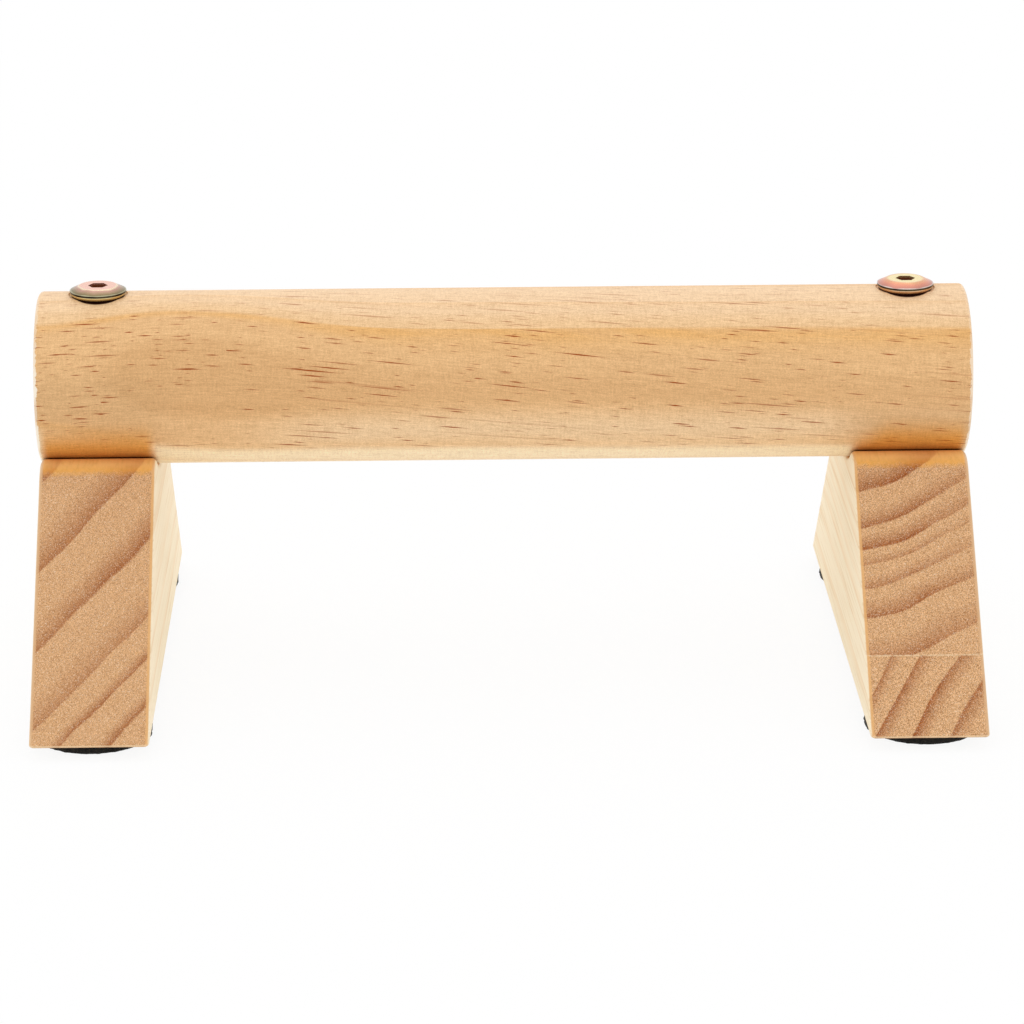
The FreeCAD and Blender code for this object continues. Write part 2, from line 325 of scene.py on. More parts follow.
class BarPlace:
    """Where a point of the bar lies: along it and round it, in its grain and rings, and over the feet."""

    def __init__(self, wood, low, high, foot_span):
        radius = (high.z - low.z) / 2 / MM
        self.place = wood.place()
        self.x, self.y, z = wood.split(self.place)
        self.side = wood.math("ABSOLUTE", self.x)
        self.height = wood.minus(z, (low.z + high.z) / 2 / MM)
        rise = self.grain_rise(wood)
        self.grain = wood.join(self.x, self.y, wood.minus(self.height, rise))
        arc = wood.times(wood.math("ARCTAN2", self.height, wood.times(self.y, -1.0)), radius)
        self.skin = wood.join(self.x, wood.minus(arc, rise), 0.0)
        self.depth = self.ring_depth(wood, radius)
        self.behind = self.behind_face_ring(wood)
        self.inner_face, outer_face = foot_span
        self.near_foot = wood.ease(self.side, *shifted(NEAR_FOOT, self.inner_face))
        self.over_foot = wood.times(
            wood.ease(self.side, *shifted(PAST_INNER_FACE, self.inner_face)),
            wood.ease(self.side, *shifted(PAST_OUTER_FACE, outer_face)),
        )

    def grain_rise(self, wood):
        """How far the grain climbs: to a crest near the left end, then down to the right."""
        return wood.plus(
            wood.times(wood.bend(self.x, *GRAIN_CREST), GRAIN_CREST_SLOPE),
            wood.times(wood.bend(self.x, *GRAIN_HOLLOW), GRAIN_HOLLOW_SLOPE),
            wood.times(self.x, GRAIN_SLOPE),
        )

    def ring_depth(self, wood, radius):
        """Depth behind the front ring plane, which leans and swells towards the left end."""
        lean = wood.minus(wood.ease(self.x, *RING_LEAN), wood.times(self.x, RING_LEAN_SLOPE))
        swell = wood.plus(wood.hill(self.x, *RING_SWELL), wood.ease(self.x, *RING_FALL))
        plane = wood.plus(wood.times(lean, self.height), swell)
        wander = wood.jitter(self.grain, *BAR_RING_WANDER)
        return wood.plus(wood.minus(wood.plus(self.y, radius), plane), wander)

    def behind_face_ring(self, wood):
        """1 behind the face ring and 0 in front, with a softer border at both ends and low down."""
        soft = wood.plus(
            wood.ease(self.x, *BORDER_LEFT),
            wood.ease(self.x, *BORDER_RIGHT),
            wood.ease(self.height, *BORDER_LOW),
        )
        return wood.ease(self.depth, wood.minus(FACE_RING, soft), wood.plus(FACE_RING, soft))


BAR_PALE = srgb(243, 208, 167)
BAR_BAND = srgb(239, 198, 148)
BAR_UNDER_FLOOR_LIT = srgb(255, 231, 191)
BAR_TAN = srgb(232, 186, 132)
BAR_LOW_FLOOR_LIT = srgb(240, 205, 161)
BAR_AMBER = srgb(234, 180, 111)
BAR_CORE = srgb(220, 172, 118)
# pale wood behind the face ring: depths over which its band pales, and heights where its underside lightens,
# partly paler wood and partly painted light from the floor, which the feet keep from it
BAND_DEPTH = (0.0, 6.0)
UNDER_HEIGHT = (-4.0, -12.0)
# paler lower front, painted light from the floor: by height, along the bar, and how much the left and the
# right foot take from it
LOW_HEIGHT = (0.0, -9.0)
LOW_STRETCH = (-70.0, -30.0, 0.15, 1.0)
LOW_LOSS = (*MIDDLE, 1.0, 0.7)
# amber band in front of the face ring: width along the bar, strength by height, and its patches
AMBER_WIDTH = (-80.0, 0.0, 1.6, 4.5)
AMBER_HEIGHT = (-10.0, 4.0, 0.4, 1.0)
AMBER_PATTERN = ((0.025, 0.35, 0.35), 2.0)
AMBER_PATCHES = (0.3, 0.65, 0.5, 1.0)
# heart: lean of its border by height, width of the border, and how strong its colour is
HEART_LEAN = 0.05
HEART_BORDER = (0.7, -0.9)
HEART_STRENGTH = 0.8


def pine_of_bar(wood, at):
    """Tan wood in front of the face ring, pale wood behind it, an amber band along it, a darker heart, and
    painted floor light low down.
    """
    pale = wood.mix(wood.ease(at.depth, *shifted(BAND_DEPTH, FACE_RING)), BAR_BAND, BAR_PALE)
    # underside: partly paler wood, partly painted floor light, left out over the feet
    under = wood.times(wood.ease(at.height, *UNDER_HEIGHT), wood.minus(1.0, at.over_foot))
    pale = wood.mix(under, pale, BAR_UNDER_FLOOR_LIT)
    floor_lit_front = wood.times(
        wood.ease(at.height, *LOW_HEIGHT),
        wood.ease(at.x, *LOW_STRETCH),
        wood.minus(1.0, wood.times(at.near_foot, wood.ease(at.x, *LOW_LOSS))),
    )
    colour = wood.mix(at.behind, wood.mix(floor_lit_front, BAR_TAN, BAR_LOW_FLOOR_LIT), pale)

    amber_start = wood.minus(FACE_RING, wood.ease(at.x, *AMBER_WIDTH))
    amber = wood.times(
        wood.ease(at.depth, amber_start, FACE_RING),
        wood.minus(1.0, at.behind),
        wood.ease(at.height, *AMBER_HEIGHT),
        wood.ease(wood.noise(at.grain, *AMBER_PATTERN), *AMBER_PATCHES),
    )
    colour = wood.mix(amber, colour, BAR_AMBER)
    colour = wood.mix(wood.rings(at.depth, BACK_RINGS), colour, BAR_AMBER)

    # the heart is widest near the left end, and a stripe further right
    inner = wood.minus(at.depth, wood.times(at.height, HEART_LEAN))
    heart = wood.ease(inner, *shifted(HEART_BORDER, HEART_RING), 0.0, HEART_STRENGTH)
    return wood.mix(heart, colour, BAR_CORE)


# painted amber bounce light and shade where the bar beds into the feet
PAINTED_BOUNCE = srgb(224, 158, 72)
# tone of the bar's front over the feet, which keep the floor's light from it
BED_SHADE = (0.88, 0.875, 0.86, 1.0)
# the shade's top and its strength, each at the left and the right foot, and the depth below the top
# where it is full
BED_TOP = (*MIDDLE, 9.0, -1.0)
BED_STRENGTH = (*MIDDLE, 0.7, 1.0)
BED_FULL = 7.0
# painted amber bounce light and shade over the feet: heights over which it deepens, how much lower it starts
# at the inner face of the left and the right foot, and the distance over which it rises from there
PAINTED_BOUNCE_HEIGHT = (-4.5, -13.5, 0.0, 0.95)
PAINTED_BOUNCE_DROP = (*MIDDLE, 0.0, 5.0)
PAINTED_BOUNCE_DROP_REACH = (0.0, 9.0)


def bed_of_bar(wood, at, colour):
    """Painted shade on the front over the feet, and painted amber bounce light and shade where the bar beds
    into them.
    """
    top = wood.ease(at.x, *BED_TOP)
    shade = wood.times(
        at.near_foot,
        wood.ease(at.height, top, wood.minus(top, BED_FULL)),
        wood.ease(at.x, *BED_STRENGTH),
    )
    colour = wood.tint(colour, shade, WHITE, BED_SHADE)
    drop = wood.times(
        wood.ease(at.side, *shifted(PAINTED_BOUNCE_DROP_REACH, at.inner_face), 1.0, 0.0),
        wood.ease(at.x, *PAINTED_BOUNCE_DROP),
    )
    bounce = wood.times(at.over_foot, wood.ease(wood.plus(at.height, drop), *PAINTED_BOUNCE_HEIGHT))
    return wood.mix(bounce, colour, PAINTED_BOUNCE)


BAR_FIBRES = (0.56, (0.3, 3.8, 3.8), 2.0, 0.6)
BAR_STREAKS = (0.2, (0.012, 0.8, 0.8))
BAR_TURNING_MARKS = (0.26, (2.3, 0.4, 0.4), 1.0)
BAR_PORES = (0.54, (3.2, 4.0, 4.0), 1.0)


def fine_grain_of_bar(wood, at):
    """Fibres, long streaks, turning marks and pores in one tone, about 0.5 at its middle."""
    along_grain = (BAR_FIBRES, BAR_STREAKS, BAR_TURNING_MARKS)
    parts = [wood.jitter(at.grain, *part) for part in along_grain]
    return wood.plus(0.5, *parts, wood.jitter(at.place, *BAR_PORES))


class Canal(NamedTuple):
    """A kind of resin canal on the bar's skin.

    stretch is along and across the grain, radius is its size once stretched, share is how many there
    are along the bar, and a grouped kind keeps to loose groups."""

    stretch: tuple
    radius: float
    seed: float
    share: tuple
    grouped: bool = False
    strength: float = 1.0


# threads, dashes, ticks, stubs that crowd at the left end, and long faint lines
CANALS = (
    Canal((0.02, 0.8), 0.15, 3.0, (*LEFT_STRETCH, 0.05, 0.5)),
    Canal((0.04, 0.85), 0.165, 11.0, (-75.0, -35.0, 0.45, 1.0), grouped=True),
    Canal((0.08, 1.05), 0.18, 17.0, (*LEFT_STRETCH, 1.0, 0.5), grouped=True),
    Canal((0.15, 1.1), 0.2, 23.0, (-50.0, -90.0, 0.0, 0.4)),
    Canal((0.005, 0.7), 0.15, 29.0, (-80.0, -30.0, 0.3, 0.9), strength=0.3),
)
CANAL_COLOUR = srgb(158, 66, 0)
CANAL_DENT = 0.15
GROUP_PATTERN = ((0.03, 0.16, 1.0), 1.0)
GROUP_SHARE = (0.34, 0.56, 0.25, 0.9)
# share of the canals that is lost behind the face ring, by height
CLEAN_HEIGHT = (-4.0, -8.0, 0.4, 0.8)
# oval round the heart that has few canals: centre and half axes along the bar and up, and border
BARE_CENTRE = (-73.0, -3.0)
BARE_REACH = (14.0, 6.5)
BARE_BORDER = (1.1, 0.9, 0.0, 0.85)


def kind_of_canal(wood, at, canal, grouping):
    """Marks of one kind of canal."""
    share = wood.ease(at.x, *canal.share)
    if canal.grouped:
        share = wood.times(grouping, share)
    return wood.spindles(at.skin, canal.stretch, canal.radius, canal.seed, share, canal.strength)


def canals_of_bar(wood, at):
    """Resin canals on the unrolled skin, few behind the face ring and very few round the heart."""
    grouping = wood.ease(wood.noise(at.skin, *GROUP_PATTERN), *GROUP_SHARE)
    marks = wood.largest(*[kind_of_canal(wood, at, canal, grouping) for canal in CANALS])
    clean = wood.times(at.behind, wood.ease(at.height, *CLEAN_HEIGHT))
    from_bare = wood.length(
        wood.over(wood.minus(at.x, BARE_CENTRE[0]), BARE_REACH[0]),
        wood.over(wood.minus(at.height, BARE_CENTRE[1]), BARE_REACH[1]),
    )
    bare = wood.ease(from_bare, *BARE_BORDER)
    return wood.times(marks, wood.minus(1.0, clean), wood.minus(1.0, bare))


# painted shade, dark in the crevice over the feet and under the bolt heads
CREVICE_SHADE = srgb(56, 20, 8)
CREVICE_HEIGHT = (-15.4, -15.7, 0.0, 0.85)
# shade under a bolt head: share of the head's radius, soft edge, and heights where it sets in
HEAD_SHADE = 0.97
HEAD_SHADE_EDGE = (0.0, -0.3)
HEAD_SHADE_HEIGHT = (10.0, 14.0)


def shade_on_bar(wood, at, colour, bolt_station, bolt_radius):
    """Painted shade: dark in the crevice over the feet, and a dark ring under the bolt heads."""
    crevice = wood.times(at.over_foot, wood.ease(at.height, *CREVICE_HEIGHT))
    colour = wood.mix(crevice, colour, CREVICE_SHADE)
    from_bolt = wood.length(wood.minus(at.side, bolt_station), at.y)
    under_head = wood.times(
        wood.ease(from_bolt, *shifted(HEAD_SHADE_EDGE, HEAD_SHADE * bolt_radius)),
        wood.ease(at.height, *HEAD_SHADE_HEIGHT),
    )
    return wood.mix(under_head, colour, CREVICE_SHADE)


BAR_END = srgb(226, 184, 132)
BAR_END_LATE = srgb(190, 128, 78)
ARRIS = srgb(252, 240, 220)
# how far a surface faces along the bar: on the sawn ends, and on the arris with its torn, inner and
# outer borders
END_FACING = (0.9, 0.99)
ARRIS_TORN = (0.27, 0.47)
ARRIS_INNER = (0.03, 0.12)
ARRIS_OUTER = (0.98, 0.9)
ARRIS_RAG = (1.6, (1.2, 0.9, 0.9), 3.0)
# strength of the arris: in patches, by height, and along the bar
ARRIS_PATTERN = ((0.01, 0.16, 0.16), 1.0)
ARRIS_PATCHES = (0.36, 0.56, 0.45, 1.0)
ARRIS_HEIGHT = (8.0, 14.0, 1.0, 0.35)
ARRIS_STRETCH = (-50.0, 50.0, 1.0, 0.65)


def ends_of_bar(wood, at, colour, tone):
    """Sawn ends: darker end grain, and pale torn fibres along the rounded arris."""
    across = wood.math("ABSOLUTE", wood.normal()[0])
    end_colour = wood.mix(wood.rings(at.depth, BACK_RINGS), BAR_END, BAR_END_LATE)
    end_colour = wood.tint(end_colour, tone, DARK_GRAIN, LIGHT_GRAIN)
    colour = wood.mix(wood.ease(across, *END_FACING), colour, end_colour)
    arris = wood.times(
        wood.ease(wood.plus(across, wood.jitter(at.place, *ARRIS_RAG)), *ARRIS_TORN),
        wood.ease(across, *ARRIS_INNER),
        wood.ease(across, *ARRIS_OUTER),
    )
    worn = wood.times(
        wood.ease(wood.noise(at.place, *ARRIS_PATTERN), *ARRIS_PATCHES),
        wood.ease(at.height, *ARRIS_HEIGHT),
        wood.ease(at.x, *ARRIS_STRETCH),
    )
    return wood.mix(wood.times(arris, worn), colour, ARRIS)


BAR_ROUGHNESS = (0.2, 0.4)
BAR_RELIEF = (0.04 * MM, 0.6)


def make_bar_wood(low, high, foot_span, bolt_station, bolt_radius):
    """Turned pine with its grain along X, with painted amber bounce light and shade where it beds into the
    feet.
    """
    wood = Finish("bar_pine")
    at = BarPlace(wood, low, high, foot_span)
    tone = fine_grain_of_bar(wood, at)
    canals = canals_of_bar(wood, at)
    colour = bed_of_bar(wood, at, pine_of_bar(wood, at))
    colour = wood.tint(colour, tone, DARK_GRAIN, LIGHT_GRAIN)
    colour = wood.mix(canals, colour, CANAL_COLOUR)
    colour = shade_on_bar(wood, at, colour, bolt_station, bolt_radius)
    colour = ends_of_bar(wood, at, colour, tone)
    rough = wood.line(tone, *BAR_ROUGHNESS)
    normal = wood.bump(wood.minus(tone, wood.times(canals, CANAL_DENT)), *BAR_RELIEF)
    return wood.finish(Base_Color=colour, Roughness=rough, Specular_IOR_Level=WOOD_GLOSS, Normal=normal)


class Board(NamedTuple):
    """How a foot's board looks: its growth rings about a pith line along Y, and its end grain.

    pith is (x, z), a ring is (distance from the pith, latewood width, strength), grit is the contrast
    of the end grain's speckle, and fade is the share of the rings that is lost towards the outer side."""

    pith: tuple
    rings: tuple
    grit: float
    fade: float = 0.0


LEFT_BOARD = Board(
    pith=(-374.9, 370.2),
    rings=(
        (406.0, 4.0, 0.6),
        (418.3, 4.5, 0.7),
        (431.0, 6.0, 0.72),
        (442.6, 5.0, 0.88),
        (453.2, 5.0, 0.55),
        (458.8, 2.0, 0.85),
        (465.3, 2.4, 0.95),
    ),
    grit=0.75,
)
UPPER_BOARD = Board(
    pith=(56.9, 148.1),
    rings=(
        (104.3, 4.4, 1.0),
        (110.4, 3.0, 0.9),
        (114.5, 3.0, 1.0),
        (117.2, 1.6, 0.6),
        (121.1, 2.4, 0.75),
        (126.3, 3.4, 1.0),
        (133.9, 4.4, 0.95),
    ),
    grit=1.05,
    fade=0.45,
)
LOWER_BOARD = Board(
    pith=(322.6, -183.4),
    rings=(
        (287.0, 3.0, 0.9),
        (292.7, 3.4, 0.95),
        (299.0, 3.2, 1.0),
        (305.0, 3.0, 1.0),
        (310.0, 2.6, 0.9),
    ),
    grit=1.35,
    fade=0.15,
)
FOOT_RING_WANDER = (3.2, (0.06, 0.01, 0.06), 1.0)
FOOT_RING_RAG = (0.35, (1.6, 0.05, 1.6), 1.0)
# strength of the latewood: in patches, and distances from the bar's middle between which it fades
LATE_PATTERN = ((0.09, 0.03, 0.09), 1.0)
LATE_PATCHES = (0.3, 0.65, 0.75, 1.0)
LATE_FADE = (90.0, 106.0)
STREAK_PATTERN = ((1.6, 0.03, 1.6), 3.0)
# how far a surface faces up on the lip, whose border waves
LIP_FACING = (0.71, 0.85)
LIP_WAVE = (0.12, (0.6, 0.6, 0.6))


class FootPlace:
    """Where a point of a foot lies: among its board's rings and streaks, and which way it faces."""

    def __init__(self, wood, board, inward):
        self.place = wood.place()
        x, _, self.z = wood.split(self.place)
        across = wood.minus(x, board.pith[0])
        above = wood.minus(self.z, board.pith[1])
        self.radius = wood.plus(
            wood.length(across, above),
            wood.jitter(self.place, *FOOT_RING_WANDER),
            wood.jitter(self.place, *FOOT_RING_RAG),
        )
        self.round_pith = wood.times(wood.math("ARCTAN2", above, across), board.rings[0][0])
        self.late = wood.times(
            wood.rings(self.radius, board.rings),
            wood.ease(wood.noise(self.place, *LATE_PATTERN), *LATE_PATCHES),
            wood.ease(wood.times(x, -inward), *LATE_FADE, 1.0, 1.0 - board.fade),
        )
        self.streak = wood.noise(self.place, *STREAK_PATTERN)
        self.turn_x, turn_y, self.turn_z = wood.normal()
        self.sloping = wood.math("ABSOLUTE", turn_y)
        self.lip = wood.ease(wood.plus(self.turn_z, wood.jitter(self.place, *LIP_WAVE)), *LIP_FACING)


END_PALE = srgb(217, 167, 117)
END_LATE = srgb(157, 82, 26)
END_DOT = srgb(250, 230, 204)
DARK_FLECK = (0.62, 0.54, 0.44, 1.0)
LIGHT_FLECK = (1.3, 1.4, 1.56, 1.0)
FLECK_PATTERN = ((5.5, 1.5, 5.5), 1.0, 0.6)
# rays across the rings: their pattern round the pith and outwards, and their share in the speckle
RAY_PATTERN = ((3.0, 0.4, 1.0), 1.0)
RAY_SHARE = 0.12
# distance from the speckle's middle at which a board of unit grit is darkest or lightest
SPECKLE_REACH = 0.18
DOT_PATTERN = ((6.0, 2.0, 6.0), 0.0)
DOT_SHARE = (0.66, 0.74, 0.0, 0.6)


def speckle_of_foot(wood, at):
    """Cut fibres and rays of the end grain, about 0.5 at its middle."""
    flecks = wood.noise(at.place, *FLECK_PATTERN)
    rays = wood.noise(wood.join(at.round_pith, at.radius, 0.0), *RAY_PATTERN)
    return wood.plus(wood.times(flecks, 1.0 - RAY_SHARE), wood.times(rays, RAY_SHARE))


def slopes_of_foot(wood, at, speckle, grit):
    """End grain of the slopes: rings under a fine speckle, with a few pale dots."""
    reach = SPECKLE_REACH / grit
    sparkle = wood.ease(speckle, 0.5 - reach, 0.5 + reach)
    colour = wood.tint(wood.mix(at.late, END_PALE, END_LATE), sparkle, DARK_FLECK, LIGHT_FLECK)
    dots = wood.ease(wood.noise(at.place, *DOT_PATTERN), *DOT_SHARE)
    return wood.mix(dots, colour, END_DOT)


SIDE_PALE = srgb(255, 241, 212)
SIDE_LATE = srgb(243, 208, 158)
SIDE_LATE_SHARE = 0.5
SIDE_LINE = (0.9, 0.85, 0.77, 1.0)
SIDE_LINE_STREAK = (0.32, 0.5)


def sides_of_foot(wood, at):
    """Long grain of the sides and the underside, with faint lines."""
    colour = wood.mix(wood.times(at.late, SIDE_LATE_SHARE), SIDE_PALE, SIDE_LATE)
    return wood.tint(colour, wood.ease(at.streak, *SIDE_LINE_STREAK), SIDE_LINE, WHITE)


# amber of the lips: partly the wood's own colour, partly painted warm bounce light from the bar
LIP = srgb(244, 179, 85)
LIP_LATE = srgb(210, 130, 48)
LIP_SHADES = (grey(0.85), grey(1.12))
LIP_STRENGTH = 0.85
# edges of the slopes: colour and how far it reaches round to the side, then the spans in which it
# starts and stops
INNER_EDGE = (srgb(235, 182, 120), 0.75)
OUTER_EDGE = (srgb(222, 178, 132), 0.9)
EDGE_START = (0.2, 0.45)
EDGE_STOP = (0.09, 0.0)
EDGE_STRENGTH = 0.8
# the toe's edge: how far it faces up and down, its height, and how far it faces along the foot
TOE = srgb(250, 222, 180)
TOE_UP = (0.62, 0.4)
TOE_DOWN = (-0.8, -0.3)
TOE_HEIGHT = (5.5, 4.5)
TOE_SLOPING = (0.3, 0.6, 0.0, 0.6)


def edges_of_foot(wood, at, colour, inward):
    """Amber lips, partly the wood's colour and partly painted warm bounce light from the bar, amber along
    the slopes' inner edges, tan along the outer ones, and a pale toe.
    """
    lip_colour = wood.tint(wood.mix(at.late, LIP, LIP_LATE), at.streak, *LIP_SHADES)
    colour = wood.mix(wood.times(at.lip, LIP_STRENGTH), colour, lip_colour)
    for sign, (edge_colour, end) in ((inward, INNER_EDGE), (-inward, OUTER_EDGE)):
        towards = wood.times(at.turn_x, sign)
        edge = wood.times(
            wood.ease(towards, *EDGE_START),
            wood.ease(towards, *shifted(EDGE_STOP, end)),
            EDGE_STRENGTH,
        )
        colour = wood.mix(edge, colour, edge_colour)
    toe = wood.times(
        wood.ease(at.turn_z, *TOE_UP),
        wood.ease(at.turn_z, *TOE_DOWN),
        wood.ease(at.z, *TOE_HEIGHT),
        wood.ease(at.sloping, *TOE_SLOPING),
    )
    return wood.mix(toe, colour, TOE)


GLUE = srgb(240, 210, 170)
GLUE_WIDTH = 0.12
GLUE_PATTERN = ((1.5, 0.5, 0.5), 1.0)
GLUE_GAPS = (0.35, 0.6, 0.35, 0.9)


def glue_on_foot(wood, at, colour, glue_height):
    """A thin, broken line of glue at a height."""
    filled = wood.ease(wood.noise(at.place, *GLUE_PATTERN), *GLUE_GAPS)
    line = wood.times(wood.hill(at.z, glue_height, GLUE_WIDTH, 1.0), filled)
    return wood.mix(line, colour, GLUE)


SLOPE_FACING = (0.3, 0.62)
FOOT_ROUGHNESS = (0.25, 0.42)
FOOT_RELIEF = (0.06 * MM, 0.8)


def make_foot_wood(name, board, inward, glue_height=None):
    """Sawn pine with its grain along Y: speckled end grain on the slopes, pale sides, an amber lip that is
    partly painted bounce light.

    The inner side face looks along +X or -X as inward is 1 or -1."""
    wood = Finish(name)
    at = FootPlace(wood, board, inward)
    speckle = speckle_of_foot(wood, at)
    slopes = slopes_of_foot(wood, at, speckle, board.grit)
    colour = wood.mix(wood.ease(at.sloping, *SLOPE_FACING), sides_of_foot(wood, at), slopes)
    colour = edges_of_foot(wood, at, colour, inward)
    if glue_height is not None:
        colour = glue_on_foot(wood, at, colour, glue_height)
    rough = wood.line(speckle, *FOOT_ROUGHNESS)
    normal = wood.bump(wood.times(speckle, wood.minus(1.0, at.lip)), *FOOT_RELIEF)
    return wood.finish(Base_Color=colour, Roughness=rough, Specular_IOR_Level=WOOD_GLOSS, Normal=normal)


# depths below a head's top at which its dark rim line, a painted dark reflection, and its coloured lower
# part start, and how soon they are full
RIM_DEPTH = 1.0
TAPER_DEPTH = 1.45
DEPTH_EDGE = (0.0, 0.1)
# key socket: radii and depths over which its colour sets in, and the share of metal that it lacks
SOCKET_RADIUS = (2.6, 2.35)
SOCKET_DEPTH = (0.1, 0.5)
SOCKET_DULLNESS = 0.85
DRIFT_PATTERN = ((0.35, 0.35, 0.6), 2.0)
DRIFT_REACH = 0.12
RIM_DRIFT = (0.35, 0.65)
UNDER_FACING = (-0.8, -0.95)
SCRATCH_PATTERN = ((3.0, 3.0, 3.0), 3.0)
SCRATCH_SHADES = (grey(0.9), grey(1.06))
ZINC_ROUGHNESS = (0.16, 0.16)
ZINC_RELIEF = (0.01 * MM, 0.4)
ZINC_RIM_DARK_REFLECTION = srgb(44, 36, 26)
ZINC_RIM_LIGHT_REFLECTION = srgb(88, 76, 54)
# painted shade on the underside of a head
ZINC_UNDER_SHADE = srgb(40, 26, 18)
ZINC_SOCKET = srgb(132, 72, 42)
ZINC_GOLD = srgb(226, 206, 150)
ZINC_COPPER = srgb(228, 188, 146)
# tints of a head from its centre to its rim, by share of its radius; the pale stop at 0.68 on the pink head
# and the pale stops at 0.99 are painted highlight lines
ZINC_PINK = (
    (0.0, srgb(246, 190, 168)),
    (0.64, srgb(248, 196, 176)),
    (0.68, srgb(250, 232, 196)),
    (0.74, srgb(202, 158, 142)),
    (0.84, srgb(174, 145, 118)),
    (0.95, srgb(134, 120, 85)),
    (0.99, srgb(184, 178, 148)),
)
ZINC_YELLOW = (
    (0.0, srgb(248, 226, 160)),
    (0.56, srgb(251, 232, 170)),
    (0.68, srgb(236, 180, 138)),
    (0.8, srgb(228, 154, 128)),
    (0.95, srgb(200, 138, 124)),
    (0.99, srgb(222, 206, 198)),
)


def make_zinc(name, node, tints, taper):
    """Zinc plate: drifting tints on the top and the bevel with painted highlight lines, a dark rim line of
    painted reflection, a coloured taper, painted shade on the underside, a brown socket.
    """
    zinc = Finish(name)
    low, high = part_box(node)
    centre = (low + high) / 2 / MM
    head_radius = (high.x - low.x) / 2 / MM
    place = zinc.place()
    x, y, z = zinc.split(place)
    radius = zinc.length(zinc.minus(x, centre.x), zinc.minus(y, centre.y))
    depth = zinc.minus(high.z / MM, z)
    drift = zinc.noise(place, *DRIFT_PATTERN)
    reach = zinc.plus(zinc.over(radius, head_radius), zinc.times(zinc.minus(drift, 0.5), DRIFT_REACH))
    colour = zinc.ramp(reach, tints)
    rim_reflection = zinc.mix(zinc.ease(drift, *RIM_DRIFT), ZINC_RIM_DARK_REFLECTION, ZINC_RIM_LIGHT_REFLECTION)
    colour = zinc.mix(zinc.ease(depth, *shifted(DEPTH_EDGE, RIM_DEPTH)), colour, rim_reflection)
    colour = zinc.mix(zinc.ease(depth, *shifted(DEPTH_EDGE, TAPER_DEPTH)), colour, taper)
    # painted shade where the head faces down
    colour = zinc.mix(zinc.ease(zinc.normal()[2], *UNDER_FACING), colour, ZINC_UNDER_SHADE)
    socket = zinc.times(zinc.ease(radius, *SOCKET_RADIUS), zinc.ease(depth, *SOCKET_DEPTH))
    colour = zinc.mix(socket, colour, ZINC_SOCKET)
    scratch = zinc.noise(place, *SCRATCH_PATTERN)
    colour = zinc.tint(colour, scratch, *SCRATCH_SHADES)
    metal = zinc.minus(1.0, zinc.times(socket, SOCKET_DULLNESS))
    rough = zinc.line(scratch, *ZINC_ROUGHNESS)
    normal = zinc.bump(scratch, *ZINC_RELIEF)
    return zinc.finish(Base_Color=colour, Metallic=metal, Roughness=rough, Normal=normal)


FELT_DARK = srgb(4, 4, 3)
FELT_LIGHT = srgb(40, 36, 30)
FELT_SHADES = (grey(0.8), grey(1.2))
FELT_FIBRES = ((2.4, 2.4, 4.0), 4.0, 0.7)
FELT_FIBRE_TINTS = (0.38, 0.68)
FELT_CLUMPS = ((0.6, 0.6, 0.9), 2.0)
FELT_RELIEF = (0.15 * MM, 1.0)
FELT_SHEEN = 0.08


def make_felt():
    """Black needle felt: matted fibres with a dull sheen."""
    felt = Finish("black_felt")
    place = felt.place()
    fibres = felt.noise(place, *FELT_FIBRES)
    colour = felt.mix(felt.ease(fibres, *FELT_FIBRE_TINTS), FELT_DARK, FELT_LIGHT)
    colour = felt.tint(colour, felt.noise(place, *FELT_CLUMPS), *FELT_SHADES)
    normal = felt.bump(fibres, *FELT_RELIEF)
    return felt.finish(Base_Color=colour, Roughness=1.0, Sheen_Weight=FELT_SHEEN, Normal=normal)


PAD_NODES = ("left_front_pad", "left_rear_pad", "right_front_pad", "right_rear_pad")
PAD_STEPS = 200
PAD_SEAT_GAP = 0.02 * MM
# profile of a felt pad: (share of the radius, share of the height), and the share of the radius where
# its fuzz starts
PAD_PROFILE = (
    (0.3, 0.0), (0.6, 0.0), (0.85, 0.0), (0.97, 0.005), (0.992, 0.05), (1.0, 0.2),
    (1.0, 0.5), (0.999, 0.75), (0.992, 0.93), (0.97, 0.995), (0.85, 1.0), (0.6, 1.0), (0.3, 1.0),
)
PAD_FUZZ_FROM = 0.8
# the rim's run-out and its fibres: how far they stand out, and how many waves they have in a metre
PAD_RUN_OUT = 0.3 * MM
PAD_RUN_OUT_WAVES = 0.25 / MM
PAD_FUZZ = 0.22 * MM
PAD_FUZZ_WAVES = 1.1 / MM


def fuzz_at(point):
    """How far the felt's rim stands out at a point, in metres."""
    coarse = noise.noise(point * PAD_RUN_OUT_WAVES)
    fine = noise.noise(point * PAD_FUZZ_WAVES)
    return PAD_RUN_OUT * coarse + PAD_FUZZ * (fine + abs(fine))


def pad_points(low, high):
    """Points of a pad: the middle of its underside, its rows from below to above, the middle of its top."""
    centre = (low + high) / 2
    radius = (high.x - low.x) / 2 - PAD_FUZZ / 2
    tall = high.z - low.z - PAD_SEAT_GAP
    points = [Vector((centre.x, centre.y, low.z))]
    for share, rise in PAD_PROFILE:
        fuzz_share = max(0.0, (share - PAD_FUZZ_FROM) / (1 - PAD_FUZZ_FROM))
        for step in range(PAD_STEPS):
            turn = 2 * math.pi * step / PAD_STEPS
            out = Vector((math.cos(turn), math.sin(turn), 0.0))
            base = Vector((centre.x, centre.y, low.z + rise * tall)) + out * (share * radius)
            points.append(base + out * (fuzz_at(base) * fuzz_share))
    points.append(Vector((centre.x, centre.y, low.z + tall)))
    return points


